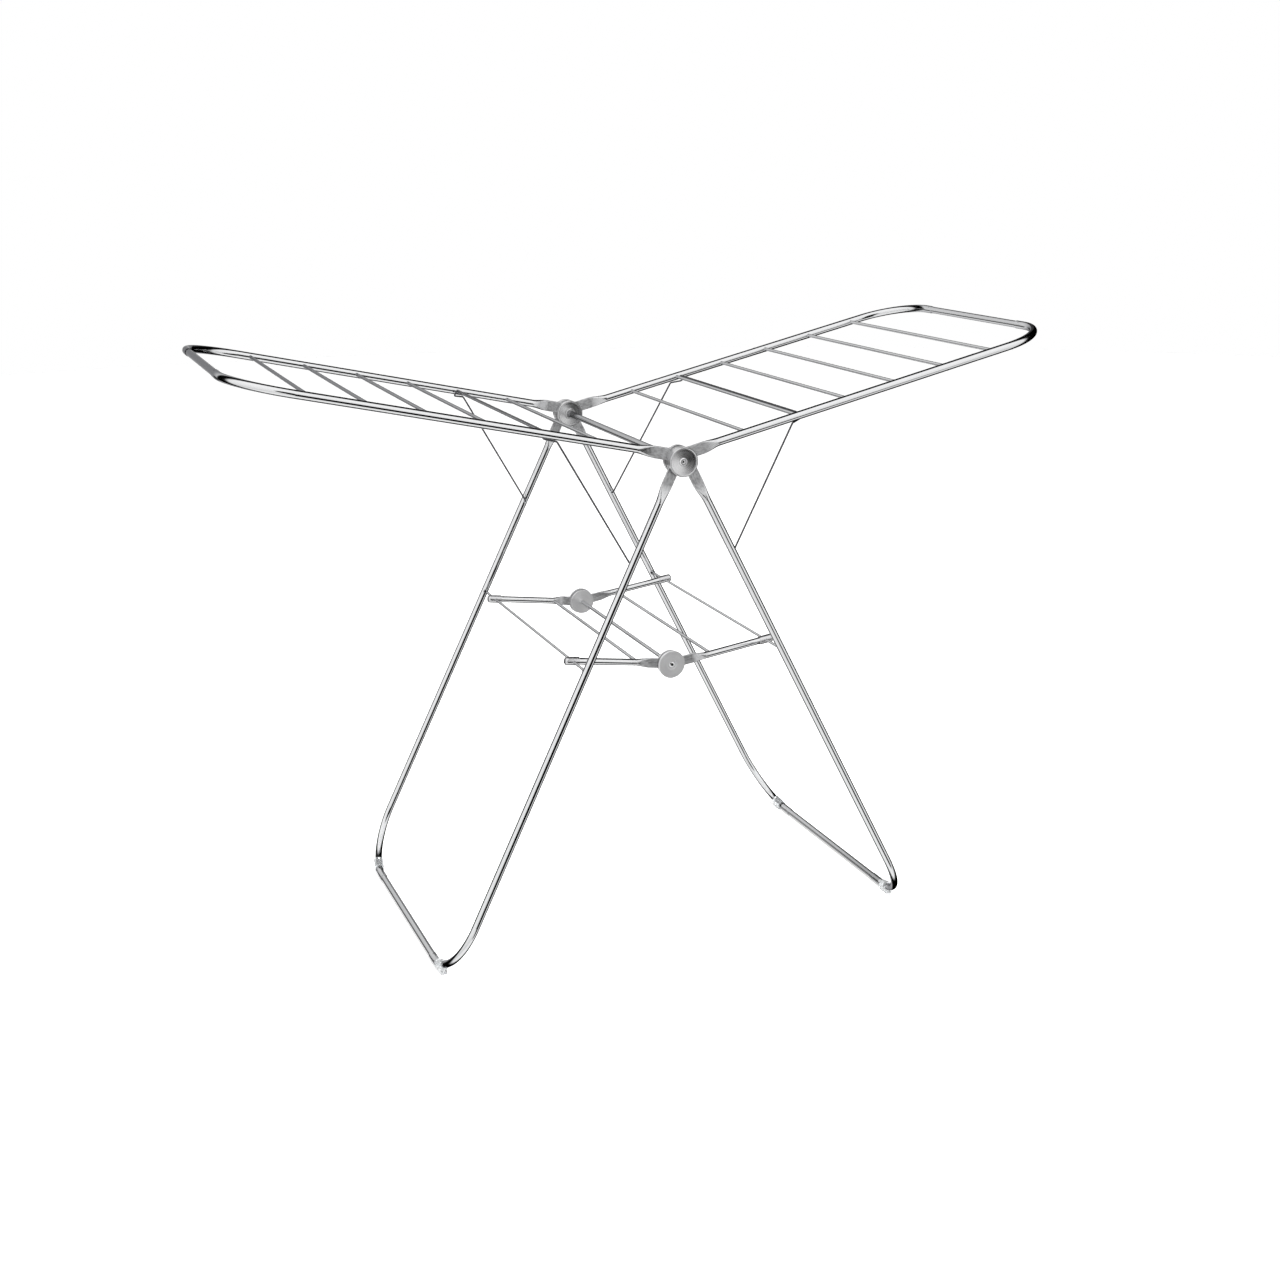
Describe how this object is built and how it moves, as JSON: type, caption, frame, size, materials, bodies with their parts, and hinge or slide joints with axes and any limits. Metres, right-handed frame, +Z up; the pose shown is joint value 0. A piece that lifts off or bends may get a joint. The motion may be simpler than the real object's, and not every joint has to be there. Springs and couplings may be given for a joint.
{
  "type": "clothes drying rack",
  "caption": "Folding metal drying rack: two round hubs carry a pair of leg frames, two raised wings with cross rods on wire props, and a small folding shelf between the legs.",
  "frame": {"origin": "on the floor, in the middle of the footprint, under the main axle", "axes": "+X towards the right wing, +Y away from the near hub, +Z up"},
  "size_m": [1.534, 0.6798, 1.0973],
  "materials": {
    "tube_metal": "polished",
    "rod_metal": "polished",
    "hub_metal": "turned",
    "cap_metal": "satin",
    "clear_plastic": "clear"
  },
  "bodies": {
    "hub": {"main_axle": "tube_metal", "hub_washers": "hub_metal", "hub_front_cap_near": "hub_metal", "hub_front_cap_far": "hub_metal", "hub_spacer_near": "hub_metal", "hub_spacer_far": "hub_metal", "hub_back_cap_near": "hub_metal", "hub_back_cap_far": "hub_metal", "axle_rivet_near": "hub_metal", "axle_rivet_far": "hub_metal", "axle_collar_near": "hub_metal", "axle_collar_far": "hub_metal"},
    "left_legs": {"leg_tube_left_near": "tube_metal", "leg_tube_left_far": "tube_metal", "foot_tube_left": "tube_metal", "foot_pads_left": "clear_plastic", "strut_grommets_left": "clear_plastic", "pivot_bosses_left": "hub_metal"},
    "left_wing": {"wing_tube_left_near": "tube_metal", "wing_tube_left_far": "tube_metal", "wing_end_tube_left": "tube_metal", "wing_rod_left_1": "rod_metal", "wing_rod_left_2": "rod_metal", "wing_rod_left_3": "rod_metal", "wing_rod_left_4": "rod_metal", "wing_rod_left_5": "rod_metal", "wing_rod_left_6": "rod_metal"},
    "left_strut": {"strut_left": "rod_metal"},
    "left_shelf": {"shelf_bar_left_near": "tube_metal", "shelf_bar_left_far": "tube_metal", "shelf_end_cap_left_near": "cap_metal", "shelf_end_cap_left_far": "cap_metal", "shelf_rod_left": "rod_metal", "shelf_pivot_rod_left": "rod_metal", "shelf_discs_near": "hub_metal", "shelf_discs_far": "hub_metal", "shelf_axle": "rod_metal", "shelf_rivets": "hub_metal"},
    "right_legs": {"leg_tube_right_near": "tube_metal", "leg_tube_right_far": "tube_metal", "foot_tube_right": "tube_metal", "foot_pads_right": "clear_plastic", "strut_grommets_right": "clear_plastic", "pivot_bosses_right": "hub_metal"},
    "right_wing": {"wing_tube_right_near": "tube_metal", "wing_tube_right_far": "tube_metal", "wing_end_tube_right": "tube_metal", "wing_rod_right_1": "rod_metal", "wing_rod_right_2": "rod_metal", "wing_rod_right_3": "rod_metal", "wing_rod_right_4": "rod_metal", "wing_rod_right_5": "rod_metal", "wing_rod_right_6": "rod_metal"},
    "right_strut": {"strut_right": "rod_metal"},
    "right_shelf": {"shelf_bar_right_near": "tube_metal", "shelf_bar_right_far": "tube_metal", "shelf_end_cap_right_near": "cap_metal", "shelf_end_cap_right_far": "cap_metal", "shelf_rod_right": "rod_metal", "shelf_pivot_rod_right": "rod_metal"}
  },
  "joints": [
    {"name": "legs_left_fold", "type": "hinge", "parent": "hub", "child": "left_legs", "pos_m": [0, 0, 0.909], "axis": [0, -1, 0], "range_deg": [0, 23.6]},
    {"name": "legs_right_fold", "type": "hinge", "parent": "hub", "child": "right_legs", "pos_m": [0, 0, 0.909], "axis": [0, 1, 0], "range_deg": [0, 23.6]},
    {"name": "shelf_left_swing", "type": "hinge", "parent": "left_legs", "child": "left_shelf", "pos_m": [-0.18601, 0, 0.55253], "axis": [0, 1, 0], "range_deg": [0, 97.23]},
    {"name": "shelf_right_swing", "type": "hinge", "parent": "left_shelf", "child": "right_shelf", "pos_m": [0, 0, 0.52663], "axis": [0, -1, 0], "range_deg": [0, 147.21]},
    {"name": "wing_left_fold", "type": "hinge", "parent": "left_legs", "child": "left_wing", "pos_m": [0, 0, 0.909], "axis": [0, -1, 0], "range_deg": [0, 73.5]},
    {"name": "strut_left_fold", "type": "hinge", "parent": "left_legs", "child": "left_strut", "pos_m": [-0.09565, 0, 0.73432], "axis": [0, -1, 0], "range_deg": [0, 122.11]},
    {"name": "wing_right_fold", "type": "hinge", "parent": "right_legs", "child": "right_wing", "pos_m": [0, 0, 0.909], "axis": [0, 1, 0], "range_deg": [0, 73.5]},
    {"name": "strut_right_fold", "type": "hinge", "parent": "right_legs", "child": "right_strut", "pos_m": [0.09565, 0, 0.73432], "axis": [0, 1, 0], "range_deg": [0, 122.11]}
  ],
  "couplings": [
    {"joint": "legs_right_fold", "follows": "legs_left_fold", "ratio": 1},
    {"joint": "shelf_left_swing", "follows": "legs_left_fold", "ratio": 4.1178},
    {"joint": "shelf_right_swing", "follows": "legs_left_fold", "ratio": 6.2355},
    {"joint": "strut_left_fold", "follows": "wing_left_fold", "ratio": 1.66},
    {"joint": "strut_right_fold", "follows": "wing_right_fold", "ratio": 1.66}
  ]
}
